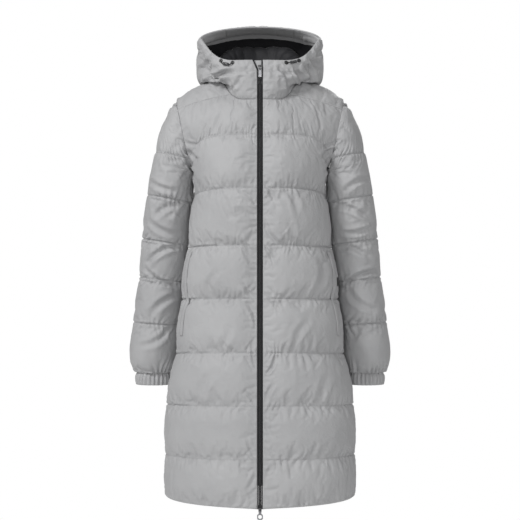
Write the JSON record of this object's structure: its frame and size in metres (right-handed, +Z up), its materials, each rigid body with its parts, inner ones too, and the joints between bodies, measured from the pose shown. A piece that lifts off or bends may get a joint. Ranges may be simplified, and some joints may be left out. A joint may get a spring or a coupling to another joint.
{
  "type": "long hooded puffer coat",
  "caption": "Long quilted puffer coat in its worn form, with the hood lying back, a two-way front zip, side pockets, gathered cuffs and a hood cord with locks",
  "frame": {"origin": "Midway between the two high shoulder points, where the wearer's shoulders carry the coat", "axes": "+Z is up, the front and its zip face -Y, and +X is the wearer's left"},
  "size_m": [0.65, 0.3432, 1.189],
  "materials": {
    "shell": "satin polyester shell, quilted over filling",
    "lining": "smooth dark lining",
    "trim": "black woven tape",
    "zip": "moulded plastic coil",
    "slider": "black lacquer",
    "pull": "polished silver",
    "fitting": "dark moulded plastic",
    "cord": "round braided cord"
  },
  "bodies": {
    "coat": {"front_left": "shell", "front_right": "shell", "back": "shell", "yoke": "shell", "sleeve_left": "shell", "sleeve_right": "shell", "cuff_left": "shell", "cuff_right": "shell", "collar_left": "shell", "collar_right": "shell", "hood_side_left": "shell", "hood_side_right": "shell", "hood_centre": "shell", "hood_facing": "shell", "hood_lining": "lining", "zip_guard": "shell", "zip_tape_left": "trim", "zip_tape_right": "trim", "zip_chain": "zip", "slider_top": "slider", "slider_bottom": "slider", "pocket_welt_left": "shell", "pocket_welt_right": "shell", "pocket_tab": "trim", "eyelet_left_inner": "fitting", "eyelet_left_outer": "fitting", "eyelet_right_inner": "fitting", "eyelet_right_outer": "fitting", "drawcord_left": "cord", "drawcord_right": "cord", "cord_lock_left": "fitting", "cord_lock_right": "fitting"},
    "zip_pull_top": {"pull_top": "pull"},
    "zip_pull_bottom": {"pull_bottom": "pull"}
  },
  "joints": [
    {"name": "zip_pull_top_hinge", "type": "hinge", "parent": "coat", "child": "zip_pull_top", "pos_m": [0, -0.11934, 0.024], "axis": [-1, 0, 0], "range_deg": [0, 160]},
    {"name": "zip_pull_bottom_hinge", "type": "hinge", "parent": "coat", "child": "zip_pull_bottom", "pos_m": [0, -0.15528, -1.012], "axis": [-1, 0, 0], "range_deg": [0, 160]}
  ]
}
